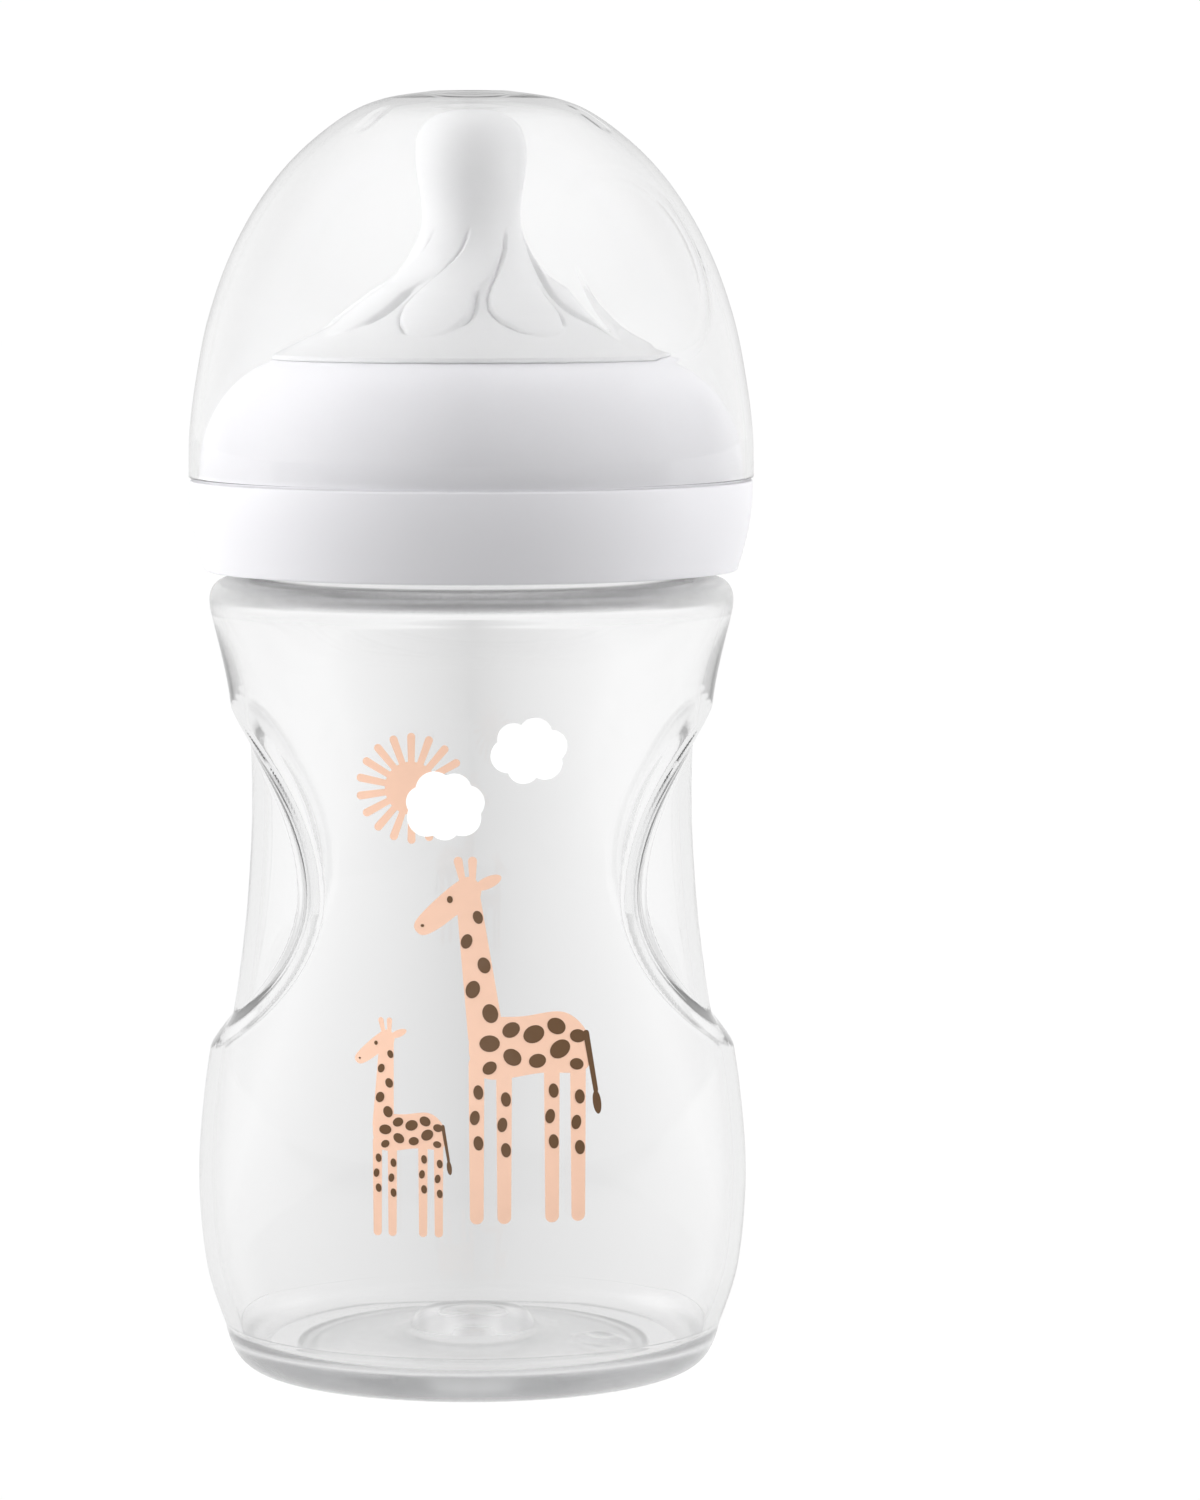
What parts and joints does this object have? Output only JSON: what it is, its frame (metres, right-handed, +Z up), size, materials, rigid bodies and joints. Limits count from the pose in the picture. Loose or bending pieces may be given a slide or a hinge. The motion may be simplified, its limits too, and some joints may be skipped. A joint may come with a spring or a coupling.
{
  "type": "baby bottle",
  "caption": "Waisted wide-neck baby bottle of clear plastic, with grip recesses, a screw ring that clamps a silicone teat, and a clear dome cap that pulls off.",
  "frame": {"origin": "centre of the foot, on the surface that the bottle stands on", "axes": "+Z up along the bottle's axis, -Y towards the decorated side, +X and -X towards the grip recesses"},
  "size_m": [0.0722, 0.0722, 0.1637],
  "materials": {
    "bottle_plastic": "clear, polished",
    "silicone": "translucent, satin",
    "ring_plastic": "white, glossy",
    "cap_plastic": "clear, polished",
    "peach_ink": "screen-printed ink",
    "brown_ink": "screen-printed ink",
    "white_ink": "screen-printed ink"
  },
  "bodies": {
    "bottle": {"bottle": "bottle_plastic"},
    "teat": {"teat": "silicone"},
    "ring": {"screw_ring": "ring_plastic"},
    "cap": {"dome_cap": "cap_plastic"}
  },
  "joints": [
    {"name": "teat_lift", "type": "slide", "parent": "bottle", "child": "teat", "axis": [0, 0, 1], "range_m": [0, 0.024]},
    {"name": "ring_turn", "type": "hinge", "parent": "teat", "child": "ring", "pos_m": [0, 0, 0.11], "axis": [0, 0, 1], "range_deg": [0, 720]},
    {"name": "cap_lift", "type": "slide", "parent": "ring", "child": "cap", "axis": [0, 0, 1], "range_m": [0, 0.06]}
  ],
  "couplings": [
    {"joint": "teat_lift", "follows": "ring_turn", "m_per_rad": 0.0019099}
  ]
}
